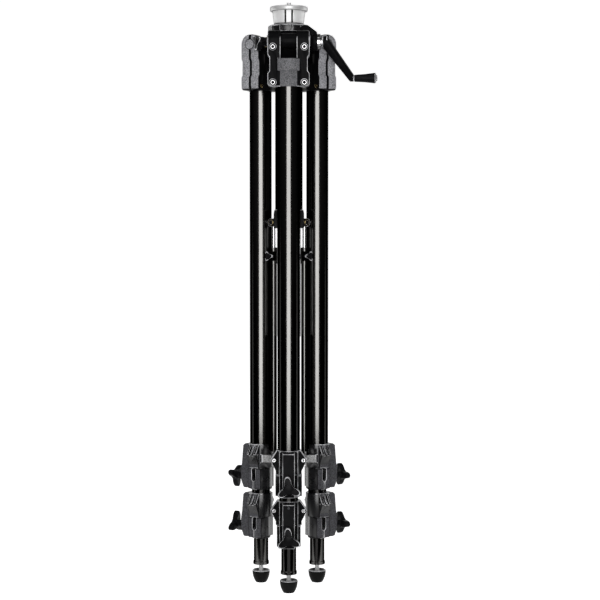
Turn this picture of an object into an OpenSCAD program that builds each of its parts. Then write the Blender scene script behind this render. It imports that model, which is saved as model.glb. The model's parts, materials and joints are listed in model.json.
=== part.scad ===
// Heavy three-legged camera stand, folded and shut, with a geared centre column.
// Lengths are millimetres and angles are degrees. Heights are counted from the floor
// under the rubber feet, and from_floor() then moves the origin to the middle of the
// head plate's upper face, where a camera head sits.
// In a leg's own frame x runs outward from the column, y runs across the leg, z is up.

/* [Overall] */
// Height of the head plate's upper face above the floor
head_h = 782.7; // [782.7:0.1:783.2]
// Distance of each leg's centre line from the column axis
leg_rho = 44.5; // [44.5:0.1:44.8]
// Direction of the front, right and left legs around the column
leg_azimuth = [-90, 30, 150]; // [-180:30:180]

/* [Leg tubes] */
// Outer radius of the upper leg tube
upper_r = 15; // [14.9:0.05:15]
// Outer radius of the middle leg tube
middle_r = 12.5; // [12.4:0.05:12.5]
// Outer radius of the lower leg tube
lower_r = 10; // [9.9:0.05:10]
// Wall of the leg tubes
leg_wall = 1.5; // [1.4:0.05:1.5]
// Radial clearance of everything that slides or turns on a round seat
run_fit = 0.05; // [0.03:0.01:0.08]

/* [Leg castings] */
// Width of a leg casting across the leg
cast_w = 55; // [54:0.5:56]
// Depth from the casting's back face to its front face
cast_depth = 27.4; // [27:0.1:28]
// Lowest edge of the casting
cast_z0 = 672; // [670:0.1:673]
// Top edge of the casting
cast_z1 = 746.4; // [746:0.1:747]
// Height of the hinge pin
hinge_z = 733; // [732:0.5:734]
// Radius of the hinge pin
hinge_pin_r = 4; // [3.5:0.1:4]
// Width of the hub lug between the casting's two ears
lug_w = 21; // [20:0.5:21]

/* [Leg locks] */
// Height of a lock collar
collar_h = 64; // [63:0.5:64]
// Lowest edge of the upper collar
upper_collar_z = 128.5; // [128:0.5:130]
// Lowest edge of the lower collar
lower_collar_z = 61; // [60:0.5:61]
// Radius that the three lobes of a leg lock knob reach
knob_r = 17; // [15:0.5:17.5]
// Turn of the upper lock knobs on the front, right and left legs
upper_knob_turn = [97, 60, 20]; // [0:1:119]
// Turn of the lower lock knobs on the front, right and left legs
lower_knob_turn = [95, 60, 98]; // [0:1:119]

/* [Column] */
// Outer radius of the centre column
column_r = 16; // [15.9:0.05:16]
// Inner radius of the centre column
column_inner_r = 13.5; // [13.3:0.1:13.5]
// Lower end of the column
column_z0 = 340; // [320:1:345]
// Outer radius of the tube that guides the column below the hub
guide_r = 18.5; // [18.4:0.05:18.5]
// Lower end of the guide tube
guide_z0 = 486; // [484:0.5:486]

/* [Crank and rack] */
// Direction in which the crank shaft points
crank_azimuth = -7; // [-8:0.5:-6]
// Height of the crank shaft
crank_z = 733.5; // [733:0.5:734]
// Module of the rack and its pinion
gear_module = 1; // [1:0.1:1]
// Number of teeth on the pinion
pinion_teeth = 14; // [14:1:14]
// Number of teeth on the rack
rack_teeth = 99; // [96:1:99]
// Distance from the column axis to the rack's pitch line
rack_pitch_line = 11; // [11:0.1:11.2]

/* [Spreader] */
// Distance of the spreader arms from the column axis
arm_rho = 24; // [24:0.1:24.2]
// Height of the arms' pivots on the spreader hub
arm_hub_z = 494; // [493:0.5:495]
// Height of the arms' pivots on the upper leg collars
arm_leg_z = 175; // [174:0.5:176]
// Radius of the rod that slides in the arm tube
arm_rod_r = 3; // [2.8:0.1:3]
// Outer radius of the arm tube
arm_tube_r = 4.3; // [4.2:0.05:4.3]

/* [Feet] */
// Largest radius of a rubber foot
foot_r = 12; // [11.5:0.1:12.5]
// Radius of the flat that stands on the floor
foot_flat_r = 7; // [6.5:0.1:7.5]

/* [Hidden] */
$fn = 64;
SIDES = ["front", "right", "left"];
LEG_PARTS = ["outer_casting", "inner_casting", "casting_screws", "upper_tube", "upper_collar",
             "upper_knob", "middle_tube", "lower_collar", "lower_knob", "lower_tube", "foot_stud",
             "rubber_foot", "arm_rod", "arm_tube", "arm_knob"];
CENTRE_PARTS = ["hub_casting", "hub_ring", "hinge_pins", "guide_tube", "spreader_hub",
                "spreader_pins", "column_tube", "column_rack", "column_cup", "top_plate",
                "plate_stud", "crank_shaft", "crank_arm", "crank_grip", "lock_knob"];

over = 1;                                  // how far a cutting shape runs past a face
gap = 0.3;                                 // room between pieces that move past each other
black = "#1b1b1c";
dark = "#2a2a2c";
metal = "#b9bbbe";

// Castings
back_rho = leg_rho - cast_depth / 2;       // back face of the inner shell
front_rho = leg_rho + cast_depth / 2;      // front face of the outer shell
parting = 0.2;                             // open line between the two shells
ear_r = cast_depth / 2;                    // the ears are round about the hinge pin
ear_slot_w = lug_w + 0.5;                  // slot between the ears
ear_slot_z = cast_z0 + 36.8;               // bottom of that slot
groove_w = 2.2;                            // groove along the parting line on the sides
groove_d = 1.2;
screw_y = 20.7;
screw_z = [cast_z0 + 5.3, cast_z0 + 51.8];
screw_r = 2.1;
screw_head_r = 4.2;
upper_tube_z0 = upper_collar_z + 37;
upper_tube_z1 = ear_slot_z - 3;
// Hub
hub_r = 25;
hub_z0 = 690;
hub_z1 = 748;
ring_r = 28;
ring_z1 = 758;
lug_r = 10;
guide_z1 = 712;
lock_azimuth = 210;
lock_z = 734;
// Rack and pinion, with short teeth so that the small pinion is not undercut
pinion_r = gear_module * pinion_teeth / 2;
addendum = 0.8 * gear_module;
dedendum = 1.1 * gear_module;
backlash = 0.12;
pressure_angle = 20;
pinion_offset = rack_pitch_line + pinion_r;
rack_w = 8;
column_slot_w = 9;
tooth_pitch = PI * gear_module;
rack_z1 = crank_z + 4 * tooth_pitch;
rack_z0 = rack_z1 - rack_teeth * tooth_pitch;
shaft_r = 6;
neck_r = 2.3;                              // shaft between the pinion and its bearings
neck_t = 12.5;                             // where the neck ends, from the middle of the pinion
crank_head_t = 48;                         // inner face of the crank arm's head
crank_reach = [35, 12.7, -47.3];           // from the arm's head to its elbow
stud_shank_r = 4;                          // the camera stud inside the head plate
// Leg locks
lobe_count = 3;
knob_z_in_collar = 17;                     // knob axis above the collar's lower edge
knob_t0 = 73.5;                            // inner face of a leg lock knob's neck
knob_neck = 7.5;                           // from there to the knob's lobes
spring_gap = 1.3;                          // split through the collar, out from the tube's axis
bracket_z = [167, 178.3];                  // bracket of the spreader arm
// Spreader
hook_r = 4.9;
hook_clear = 2.8;                          // radius of the hook's mouth round the pin
arm_tube_z = [187, 460];
stud_r = 3.1;                              // threaded stud of a rubber foot
arm_pin_r = 2.5;

module from_floor() { translate([0, 0, -head_h]) children(); }

// The children are drawn in leg i's frame.
module at_leg(i) { rotate([0, 0, leg_azimuth[i]]) from_floor() children(); }

// The children are drawn with x along the crank shaft and the pinion's middle at the origin.
module at_crank() {
    from_floor() rotate([0, 0, crank_azimuth]) translate([0, -pinion_offset, crank_z]) children();
}

// The children are drawn with x along the column lock's screw, from the column axis.
module at_lock() { from_floor() rotate([0, 0, lock_azimuth]) translate([0, 0, lock_z]) children(); }

module rod_x(x0, x1, r) { translate([x0, 0, 0]) rotate([0, 90, 0]) cylinder(h = x1 - x0, r = r); }
module rod_y(y0, y1, r) { translate([0, y0, 0]) rotate([-90, 0, 0]) cylinder(h = y1 - y0, r = r); }
module rod_z(z0, z1, r) { translate([0, 0, z0]) cylinder(h = z1 - z0, r = r); }
module cone_x(x0, x1, r0, r1) {
    translate([x0, 0, 0]) rotate([0, 90, 0]) cylinder(h = x1 - x0, r1 = r0, r2 = r1);
}
module tube(z0, z1, r_out, r_in) {
    difference() {
        rod_z(z0, z1, r_out);
        rod_z(z0 - over, z1 + over, r_in);
    }
}
module box(x0, x1, y0, y1, z0, z1) { translate([x0, y0, z0]) cube([x1 - x0, y1 - y0, z1 - z0]); }

// A flat outline in x and z, made w thick across y
module across(w) { rotate([90, 0, 0]) linear_extrude(w, center = true) children(); }
// A flat outline in y and z, made into a plate from x0 to x1
module outward(x0, x1) {
    translate([x0, 0, 0]) rotate([90, 0, 90]) linear_extrude(x1 - x0) children();
}
// A revolved profile of radius and height
module turned(points) { rotate_extrude() polygon(points); }

// Face of a casting, with the drawn-in waist between its two pairs of screws; inset draws
// its sides in, and run carries it on past its ends
module casting_face(inset = 0, run = 0) {
    half = cast_w / 2 - inset;
    waist = half - 2.5;
    corner = 4;
    z0 = cast_z0 - run;
    z1 = cast_z1 + run;
    right = [[half - corner, z0], [half - 1.2, z0 + 1.2], [half, z0 + corner],
             [half, cast_z0 + 16.8], [waist, cast_z0 + 20.3], [waist, cast_z0 + 38.3],
             [half, cast_z0 + 41.8], [half, z1 - 2], [half - 2, z1]];
    left = [for (k = [len(right) - 1:-1:0]) [-right[k][0], right[k][1]]];
    polygon(concat(right, left));
}

// Side of a casting: square below the hinge pin and round about it above
module casting_side() {
    translate([back_rho, cast_z0]) square([cast_depth, hinge_z - cast_z0]);
    intersection() {
        translate([leg_rho, hinge_z]) circle(ear_r);
        translate([back_rho, hinge_z - over]) square([cast_depth, cast_z1 - hinge_z + over]);
    }
}

// Half of a leg casting, between rho0 and rho1, with its bulge round the tube
module casting_half(rho0, rho1) {
    difference() {
        union() {
            intersection() {
                outward(rho0, rho1) casting_face();
                across(cast_w + 2 * over) casting_side();
            }
            intersection() {
                children();
                box(rho0 - 10 * (rho0 < leg_rho ? 1 : 0), rho1 + 10 * (rho0 < leg_rho ? 0 : 1),
                    -cast_w / 2, cast_w / 2, cast_z0, ear_slot_z);
            }
        }
        translate([leg_rho, 0, 0]) rod_z(cast_z0 - over, upper_tube_z1, upper_r);
        box(back_rho - 15, front_rho + 15, -ear_slot_w / 2, ear_slot_w / 2, ear_slot_z, cast_z1 + over);
        translate([leg_rho, 0, hinge_z]) rod_y(-cast_w, cast_w, hinge_pin_r + run_fit);
        for (y = [-screw_y, screw_y], z = screw_z) translate([0, y, z]) {
            rod_x(back_rho + 3, front_rho + over, screw_r);
            rod_x(front_rho - 1.6, front_rho + over, screw_head_r);
        }
        difference() {
            outward(leg_rho - groove_w / 2, leg_rho + groove_w / 2) casting_face(-over, over);
            outward(leg_rho - groove_w, leg_rho + groove_w) casting_face(groove_d, 5);
        }
    }
}

module outer_casting() {
    color(dark) casting_half(leg_rho, front_rho) translate([leg_rho, 0, 0]) {
        rod_z(cast_z0, cast_z0 + 20.3, 17.7);
        rod_z(cast_z0 + 20.3, ear_slot_z, 19.9);
    }
}

module inner_casting() {
    color(dark) casting_half(back_rho, leg_rho - parting)
        translate([leg_rho, 0, 0]) rod_z(cast_z0, ear_slot_z, 17.4);
}

// The casting's four screws
module casting_screws() {
    color(metal) for (y = [-screw_y, screw_y], z = screw_z) translate([0, y, z]) difference() {
        union() {
            rod_x(back_rho + 3, front_rho - 1.6, screw_r);
            rod_x(front_rho - 1.6, front_rho + 0.3, screw_head_r);
        }
        translate([front_rho - 1, 0, 0]) rotate([0, 90, 0]) cylinder(h = 3, r = 2, $fn = 6);
    }
}

module upper_tube() {
    color(black) translate([leg_rho, 0, 0])
        tube(upper_tube_z0, upper_tube_z1, upper_r, upper_r - leg_wall);
}

// A leg tube with the guide ring at its top that runs in the tube around it
module sliding_tube(z0, z1, r) {
    color(black) translate([leg_rho, 0, 0]) {
        tube(z0, z1, r, r - leg_wall);
        tube(z1 - 20, z1, r + 1 - run_fit, r - 0.2);
    }
}

// Clamp ear beside the collar, with ribs on its slope and a screw hole
module collar_ear() {
    ear = [[11, 31], [11, 63.4], [15.5, 63.4], [24.4, 50], [17.4, 36], [17.4, 31]];
    groove = [[11.8, 64.5], [22.3, 48.6], [27, 48.6], [27, 64.5]];
    difference() {
        outward(leg_rho - 6.5, leg_rho + 8) polygon(ear);
        for (t = [-2, 2.8]) outward(leg_rho + t, leg_rho + t + 2.4) polygon(groove);
        translate([0, 19.5, 50]) rod_x(leg_rho - 8, leg_rho + 9, 1.4);
    }
}

// Slab that carries the lock knob, seen from the side
module collar_slab() {
    polygon([[leg_rho + 6, 3], [leg_rho + 20, 1.5], [leg_rho + 23.5, 2], [leg_rho + 27.5, 12],
             [leg_rho + 28, 24], [leg_rho + 26, 36], [leg_rho + 24, 60], [leg_rho + 21, 62.5],
             [leg_rho + 6, 62.5]]);
}

// Lock collar with its lower edge at z 0: its upper half holds one tube and its split
// lower half grips the next one
module lock_collar(hold_r, grip_r, body_r, block_y) {
    bottom_r = grip_r + 2;
    difference() {
        union() {
            translate([leg_rho, 0, 0]) {
                rod_z(31, collar_h - 0.8, body_r);
                rod_z(3, 31, bottom_r);
                rod_z(1, 3.4, bottom_r + 1);
            }
            box(leg_rho - 10, leg_rho + 9.9, -block_y, block_y, 2.5, 30);
            across(16) collar_slab();
            for (side = [0, 1]) mirror([0, side, 0]) {
                collar_ear();
                // raised flank beside the slab
                box(leg_rho + 6, leg_rho + 12.6, 8, 12.5, 2, 62);
            }
        }
        translate([leg_rho, 0, 0]) {
            rod_z(37, collar_h + over, hold_r);
            rod_z(-over, 37 + over, grip_r + run_fit);
        }
        // split on both sides, wide above and thin below
        translate([leg_rho + spring_gap, 0, 0]) {
            across(60) polygon([[-2.9, 31], [-2.9, 15], [-0.5, 12], [0.5, 12], [2.9, 15], [2.9, 31]]);
            box(-0.5, 0.5, -30, 30, -over, 13);
        }
        translate([0, 0, knob_z_in_collar]) rod_x(leg_rho + grip_r, leg_rho + 40, 4 + run_fit);
    }
}

// Bracket and bolt on the inner side of the upper collar, where the arm's hook sits
module arm_bracket() {
    half = [[20.5, 7], [24, 8], [34, 14.5], [37, 14.5]];
    difference() {
        translate([0, 0, bracket_z[0]]) linear_extrude(bracket_z[1] - bracket_z[0])
            polygon(concat(half, [for (k = [3:-1:0]) [half[k][0], -half[k][1]]]));
        box(20, leg_rho - upper_r + 0.5, -2.4, 2.4, bracket_z[0] - over, bracket_z[1] + over);
        translate([leg_rho, 0, 0]) rod_z(bracket_z[0] - over, bracket_z[1] + over, upper_r + 0.7);
    }
    translate([arm_rho, 0, arm_leg_z]) {
        rod_y(-9.6, 9.6, arm_pin_r);
        for (side = [0, 1]) mirror([0, side, 0]) rod_y(7.8, 9.6, 3.2);
    }
}

// Upper collar, relieved on its inner side where the spreader arm and its hook lie
module upper_collar() {
    color(black) difference() {
        translate([0, 0, upper_collar_z]) lock_collar(upper_r, middle_r, 16.5, 17.8);
        box(20, leg_rho - upper_r + 0.5, -2.4, 2.4, arm_leg_z - 8, arm_leg_z + 12);
        box(20, leg_rho - upper_r + 0.5, -5, 5, arm_leg_z + 10, upper_collar_z + collar_h + over);
    }
    color(metal) arm_bracket();
}

module lower_collar() {
    color(black) translate([0, 0, lower_collar_z]) lock_collar(middle_r, lower_r, 16, 16);
}

// Three pointed lobes with hollow sides round the x axis, from x0 to x1
module star(r, waist, x0, x1) {
    outward(x0, x1) polygon([for (a = [0:7.5:352.5])
        let (reach = waist + (r - waist) * pow((1 + cos(lobe_count * a)) / 2, 2))
        reach * [cos(a), sin(a)]]);
}

// Leg lock knob: its screw bears on the tube through the collar's slab
module leg_knob(z, grip_r, turn) {
    color(black) translate([0, 0, z + knob_z_in_collar]) rotate([turn, 0, 0]) {
        rod_x(leg_rho + grip_r + gap, knob_t0 + over, 4);
        translate([knob_t0, 0, 0]) {
            rod_x(0, 1.5, 6.5);
            rod_x(0, knob_neck + over, 4.8);
            rod_x(knob_neck, knob_neck + 8.5, 6);
            star(knob_r, 6.5, knob_neck, knob_neck + 7.5);
        }
    }
}

// Threaded end of a leg: plug, collar, stud and the spike inside the rubber foot
module foot_stud() {
    color(metal) translate([leg_rho, 0, 0]) {
        turned([[0, 1.5], [0.6, 1.5], [stud_r, 9], [stud_r, 25.2], [10.4, 25.2], [10.85, 25.7],
                [10.85, 29.1], [10.4, 29.6], [8.5, 29.6], [8.5, 44], [0, 44]]);
    }
}

module rubber_foot() {
    color(black) translate([leg_rho, 0, 0]) turned([[stud_r + run_fit, 0], [foot_flat_r, 0],
        [9.2, 3.6], [10.9, 8], [11.7, 12], [foot_r, 15], [foot_r, 16.4], [11, 17.4],
        [8.6, 16.8], [5, 15.2], [stud_r + run_fit, 15.2]]);
}

// Rod of a spreader arm, hung in the spreader hub
module arm_rod() {
    color(metal) translate([arm_rho, 0, 0]) difference() {
        union() {
            rod_z(200, arm_hub_z, arm_rod_r);
            translate([0, 0, arm_hub_z]) rod_y(-3.7, 3.7, 5);
        }
        translate([0, 0, arm_hub_z]) rod_y(-5, 5, 2 + run_fit);
    }
}

// Opening of the arm's hook: it faces outward and up, the ways in which the pin leaves it
module hook_mouth() {
    steep = 58;
    flat = 15;
    circle(hook_clear);
    polygon([[0, 0], hook_clear * [sin(flat), -cos(flat)],
             hook_clear * [sin(flat), -cos(flat)] + 14 * [cos(flat), sin(flat)],
             hook_clear * [-sin(steep), cos(steep)] + 14 * [cos(steep), sin(steep)],
             hook_clear * [-sin(steep), cos(steep)]]);
}

// Outer tube of a spreader arm, with its lock block above and its hook below
module arm_tube(lock_side) {
    color(dark) translate([arm_rho, 0, 0]) difference() {
        union() {
            rod_z(arm_tube_z[0], arm_tube_z[1], arm_tube_r);
            rod_z(arm_tube_z[1] - 22, arm_tube_z[1], 5.1);
            mirror([0, lock_side < 0 ? 1 : 0, 0])
                box(-4.6, 4.6, 0, 9.2, arm_tube_z[1] - 18, arm_tube_z[1] - 5);
            rod_z(arm_tube_z[0] - 5, arm_tube_z[0], arm_tube_r);
            translate([0, 0, arm_leg_z]) across(4) {
                circle(hook_r);
                translate([-hook_r, 0]) square([hook_r - 0.2, 9]);
            }
        }
        rod_z(arm_tube_z[0] + 3, arm_tube_z[1] + over, arm_rod_r + run_fit);
        translate([0, 0, arm_leg_z]) across(12) hook_mouth();
        translate([0, 0, arm_tube_z[1] - 11.5]) mirror([0, lock_side < 0 ? 1 : 0, 0])
            rod_y(0, 12, 2 + run_fit);
    }
}

module arm_knob(lock_side) {
    color(black) translate([arm_rho, 0, arm_tube_z[1] - 11.5])
        mirror([0, lock_side < 0 ? 1 : 0, 0]) rotate([0, 0, 90]) {
            rod_x(arm_rod_r + gap, 10, 2);
            rod_x(9.5, 16, 3.6);
            star(7.6, 3.8, 10.5, 15.5);
        }
}

// One hub lug, reaching out to its leg's hinge pin
module hub_lug() {
    box(0, leg_rho, -lug_w / 2, lug_w / 2, hinge_z - lug_r, hinge_z + lug_r);
    translate([leg_rho, 0, hinge_z]) rod_y(-lug_w / 2, lug_w / 2, lug_r);
}

module hub_casting() {
    color(dark) difference() {
        union() {
            from_floor() turned([[0, hub_z0], [hub_r - 2, hub_z0], [hub_r, hub_z0 + 3],
                                 [hub_r, hub_z1], [0, hub_z1]]);
            for (i = [0:2]) at_leg(i) hub_lug();
            at_crank() {
                rod_x(-6, 6, 9.4);
                rod_x(-14, 31, 8);
                cone_x(31, 36, 8, 11.5);
                rod_x(36, 41, 11.5);
                // sloping web that ties the bearing to the ring
                across(8) polygon([[10, 0], [10, hub_z1 - crank_z], [22, ring_z1 - crank_z - 2],
                                   [28, ring_z1 - crank_z - 2], [40, 13.5], [40, 0]]);
            }
            at_lock() rod_x(15, 33, 7.5);
        }
        from_floor() {
            rod_z(hub_z0 - over, guide_z1, guide_r);
            rod_z(guide_z1 - over, ring_z1 + over, column_r + run_fit);
            difference() {
                rod_z(hub_z1, ring_z1 + over, ring_r + gap);
                rod_z(0, hub_z1, 1);
            }
        }
        for (i = [0:2]) at_leg(i) translate([leg_rho, 0, hinge_z]) rod_y(-lug_w, lug_w, hinge_pin_r);
        at_crank() {
            rod_x(-4.4, 4.4, pinion_r + addendum + 0.4);
            rod_x(-neck_t, neck_t, neck_r + run_fit);
            rod_x(neck_t, 42, shaft_r + run_fit);
        }
        at_lock() rod_x(0, 34, 4 + run_fit);
    }
}

// Knurled ring on top of the hub, with broad flats and grooves
module hub_ring() {
    color(dark) from_floor() difference() {
        turned([[column_r + 0.3, hub_z1], [ring_r, hub_z1], [ring_r, ring_z1 - 1.5],
                [ring_r - 2.5, ring_z1], [column_r + 0.3, ring_z1]]);
        for (k = [0:11]) rotate([0, 0, 30 * k + 8])
            box(ring_r - 1, ring_r + over, -1.3, 1.3, hub_z1 + 1, ring_z1 + over);
    }
}

// Hinge pins pressed in the hub's lugs, with the round caps that show at the castings' sides
module hinge_pins() {
    color(black) for (i = [0:2]) at_leg(i) translate([leg_rho, 0, hinge_z]) {
        rod_y(-cast_w / 2 - 0.5, cast_w / 2 + 0.5, hinge_pin_r);
        for (side = [0, 1]) mirror([0, side, 0]) rod_y(cast_w / 2 + 0.1, cast_w / 2 + 1.1, 7.2);
    }
}

module guide_tube() {
    color(black) from_floor() tube(guide_z0, guide_z1, guide_r, column_r + run_fit);
}

module spreader_hub() {
    color(dark) difference() {
        union() {
            from_floor() turned([[guide_r, 486], [guide_r + 2, 486], [guide_r + 2, 506],
                                 [guide_r + 1, 511], [guide_r, 511]]);
            for (i = [0:2]) at_leg(i) for (side = [0, 1]) mirror([0, side, 0]) {
                box(guide_r - 4, arm_rho, 4, 7, arm_hub_z - 5.5, arm_hub_z + 5.5);
                translate([arm_rho, 0, arm_hub_z]) rod_y(4, 7, 5.5);
            }
        }
        from_floor() rod_z(400, 600, guide_r);
        for (i = [0:2]) at_leg(i) translate([arm_rho, 0, arm_hub_z]) {
            rod_y(-10, 10, 2);
            // room for the rod's eye, which turns between the ears
            rod_y(-4, 4, 5.4);
        }
    }
}

module spreader_pins() {
    color(metal) for (i = [0:2]) at_leg(i) translate([arm_rho, 0, arm_hub_z]) {
        rod_y(-7.6, 7.6, 2);
        for (side = [0, 1]) mirror([0, side, 0]) rod_y(7, 8, 3.2);
    }
}

// Column with the slot through which the pinion reaches the rack
module column_tube() {
    color(metal) from_floor() difference() {
        tube(column_z0, 768, column_r, column_inner_r);
        rotate([0, 0, crank_azimuth])
            box(-column_slot_w / 2, column_slot_w / 2, -column_r - over, -8, rack_z0 - 13, rack_z1 + 4);
    }
}

// Outline of the rack's toothed bar; x is the height along the bar and y is towards the pinion
module rack_outline() {
    half_tooth = tooth_pitch / 4 - backlash / 2;
    tip = half_tooth - addendum * tan(pressure_angle);
    root = half_tooth + dedendum * tan(pressure_angle);
    teeth = [for (k = [0:rack_teeth - 1])
             let (mid = (k + 0.5) * tooth_pitch)
             each [[mid - root, -dedendum], [mid - tip, addendum], [mid + tip, addendum],
                   [mid + root, -dedendum]]];
    polygon(concat([[0, -3.4]], [[0, -dedendum]], teeth,
                   [[rack_teeth * tooth_pitch, -dedendum]], [[rack_teeth * tooth_pitch, -3.4]]));
}

// Toothed bar, seated by its wide foot against the inside of the column
module column_rack() {
    foot_y = -(rack_pitch_line - 3.4);
    color(metal) from_floor() rotate([0, 0, crank_azimuth]) {
        translate([0, -rack_pitch_line, rack_z0]) rotate([0, 0, 180]) rotate([0, -90, 0])
            linear_extrude(rack_w, center = true) rack_outline();
        intersection() {
            rod_z(rack_z0, rack_z1, column_inner_r);
            box(-column_inner_r, column_inner_r, foot_y - 0.5, foot_y + 2, rack_z0, rack_z1);
        }
    }
}

// Cup that carries the head plate, with its clamping slot at the front
module column_cup() {
    color(metal) from_floor() difference() {
        turned([[0, 759.6], [19.4, 759.6], [20.2, 760.6], [22.2, 776.5], [0, 776.5]]);
        rod_z(758, 768, column_r);
        for (x = [-4.5, 4.5]) box(x - 0.9, x + 0.9, -26, -18.5, 758, 777);
    }
}

module top_plate() {
    color(metal) from_floor() difference() {
        turned([[0, 776.5], [24.5, 776.5], [25.5, 777.5], [25.5, 781.5], [24.6, head_h], [0, head_h]]);
        rod_z(770, 790, stud_shank_r);
    }
}

module plate_stud() {
    color(metal) from_floor() turned([[0, 776.5], [stud_shank_r, 776.5],
        [stud_shank_r, head_h - 0.3], [3.175, head_h - 0.3], [3.175, 788], [2.6, 788.6], [0, 788.6]]);
}

// Point of an involute of the base circle, at the roll angle given
function involute(base_r, roll) =
    [base_r * (cos(roll) + roll * PI / 180 * sin(roll)),
     base_r * (sin(roll) - roll * PI / 180 * cos(roll))];
function turn_point(p, a) = [p[0] * cos(a) - p[1] * sin(a), p[0] * sin(a) + p[1] * cos(a)];

// Outline of the pinion, with involute flanks and one tooth on the +y side
module pinion_outline() {
    base_r = pinion_r * cos(pressure_angle);
    tip_r = pinion_r + addendum;
    root_r = pinion_r - dedendum;
    steps = 5;
    roll_tip = sqrt(pow(tip_r / base_r, 2) - 1) * 180 / PI;
    roll_pitch = tan(pressure_angle) * 180 / PI;
    pitch_point = involute(base_r, roll_pitch);
    // half the tooth's angle at the pitch circle, less the backlash
    half_angle = 90 / pinion_teeth - backlash / 2 / pinion_r * 180 / PI;
    start = -half_angle - atan2(pitch_point[1], pitch_point[0]);
    flank = [for (s = [0:steps]) turn_point(involute(base_r, roll_tip * s / steps), start)];
    foot = turn_point([root_r, 0], start);
    tooth = concat([foot], flank,
                   [for (s = [steps:-1:0]) [flank[s][0], -flank[s][1]]], [[foot[0], -foot[1]]]);
    polygon([for (k = [0:pinion_teeth - 1]) for (p = tooth)
             turn_point(p, 90 + 360 / pinion_teeth * k)]);
}

// Crank shaft with the pinion cut on it
module crank_shaft() {
    color(metal) at_crank() {
        rotate([0, 90, 0]) linear_extrude(rack_w, center = true) pinion_outline();
        rod_x(-neck_t + 0.5, neck_t + 0.5, neck_r);
        rod_x(neck_t + 0.3, crank_head_t, shaft_r);
        rod_x(42, 44.5, 11);
    }
}

// Crank arm: boss on the shaft, tapered arm down to the elbow, and the pin of the grip
module crank_arm() {
    color(black) at_crank() {
        hull() {
            rod_x(crank_head_t, crank_head_t + 6, 8);
            translate(crank_reach) rod_x(crank_head_t, crank_head_t + 5.5, 4.4);
        }
        translate(crank_reach) {
            rod_x(crank_head_t + 5, crank_head_t + 36.5, 2.5);
            rod_x(crank_head_t + 35, crank_head_t + 36.5, 4);
        }
    }
}

// Free-turning grip of the crank
module crank_grip() {
    start = crank_head_t + 5.8;
    color(black) at_crank() translate(crank_reach) translate([start, 0, 0]) rotate([0, 90, 0])
        turned([[2.5 + run_fit, 0], [4.2, 0], [4.75, 1], [5.5, 14], [6.95, 26.5], [6.95, 28.5],
                [6, 29], [2.5 + run_fit, 29]]);
}

// Column lock: its screw runs through the hub's boss to the column
module lock_knob() {
    color(black) at_lock() {
        rod_x(column_r + gap, 42, 4);
        rod_x(33.3, 35.3, 6.5);
        rod_x(35, 52, 4.6);
        rotate([20, 0, 0]) star(12, 5, 42, 50);
    }
}

hub_casting();
hub_ring();
hinge_pins();
guide_tube();
spreader_hub();
spreader_pins();
column_tube();
column_rack();
column_cup();
top_plate();
plate_stud();
crank_shaft();
crank_arm();
crank_grip();
lock_knob();

// Side on which each arm's lock knob stands, so that both rear knobs face forward
arm_lock_side = [1, -1, 1];
for (i = [0:2]) {
    side = SIDES[i];
    at_leg(i) outer_casting();
    at_leg(i) inner_casting();
    at_leg(i) casting_screws();
    at_leg(i) upper_tube();
    at_leg(i) upper_collar();
    at_leg(i) leg_knob(upper_collar_z, middle_r, upper_knob_turn[i]);
    at_leg(i) sliding_tube(lower_collar_z + 37, 620, middle_r);
    at_leg(i) lower_collar();
    at_leg(i) leg_knob(lower_collar_z, lower_r, lower_knob_turn[i]);
    at_leg(i) sliding_tube(29.6, 550, lower_r);
    at_leg(i) foot_stud();
    at_leg(i) rubber_foot();
    at_leg(i) arm_rod();
    at_leg(i) arm_tube(arm_lock_side[i]);
    at_leg(i) arm_knob(arm_lock_side[i]);
}
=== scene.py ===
"""Looks of the folded tripod: its finishes, rounded edges, knobs, screws and studio."""
import json
import math

import bmesh
import bpy
from mathutils import Matrix, Vector


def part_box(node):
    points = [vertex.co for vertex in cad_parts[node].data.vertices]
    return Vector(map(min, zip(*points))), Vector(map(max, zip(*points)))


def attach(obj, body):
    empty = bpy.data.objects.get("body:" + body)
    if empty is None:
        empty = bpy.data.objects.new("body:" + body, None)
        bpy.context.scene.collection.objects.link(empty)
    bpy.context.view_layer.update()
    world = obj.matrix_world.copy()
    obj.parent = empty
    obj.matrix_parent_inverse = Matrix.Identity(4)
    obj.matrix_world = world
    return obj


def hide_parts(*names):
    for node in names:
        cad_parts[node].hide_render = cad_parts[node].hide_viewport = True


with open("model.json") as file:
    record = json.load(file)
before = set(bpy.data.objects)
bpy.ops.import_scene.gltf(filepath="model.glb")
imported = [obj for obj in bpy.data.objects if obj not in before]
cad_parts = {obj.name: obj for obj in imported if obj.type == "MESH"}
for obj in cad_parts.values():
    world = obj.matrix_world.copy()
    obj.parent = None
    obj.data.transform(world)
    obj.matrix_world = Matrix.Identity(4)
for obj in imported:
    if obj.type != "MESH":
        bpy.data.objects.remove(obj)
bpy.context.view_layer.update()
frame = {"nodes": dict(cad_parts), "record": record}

bl_info = {
    "name": "Folded tripod",
    "version": (1, 0, 0),
    "blender": (4, 5, 0),
    "location": "View3D > Sidebar > Tripod",
    "description": "Finishes, edges, knobs and screws of a folded tripod with a geared column",
    "category": "Object",
}

MM = 0.001
SIDES = ("front", "right", "left")
LEG_AZIMUTH = {"front": -90.0, "right": 30.0, "left": 150.0}
FOOT_LOW, FOOT_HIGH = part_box("front_rubber_foot")
FLOOR_Z = FOOT_LOW.z
LEG_RHO = -(FOOT_LOW.y + FOOT_HIGH.y) / 2      # from the column's axis to a leg's, in metres


def above_floor(height):
    """Height in the shared frame, in metres, of a point given in millimetres above the floor."""
    return FLOOR_Z + height * MM


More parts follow.
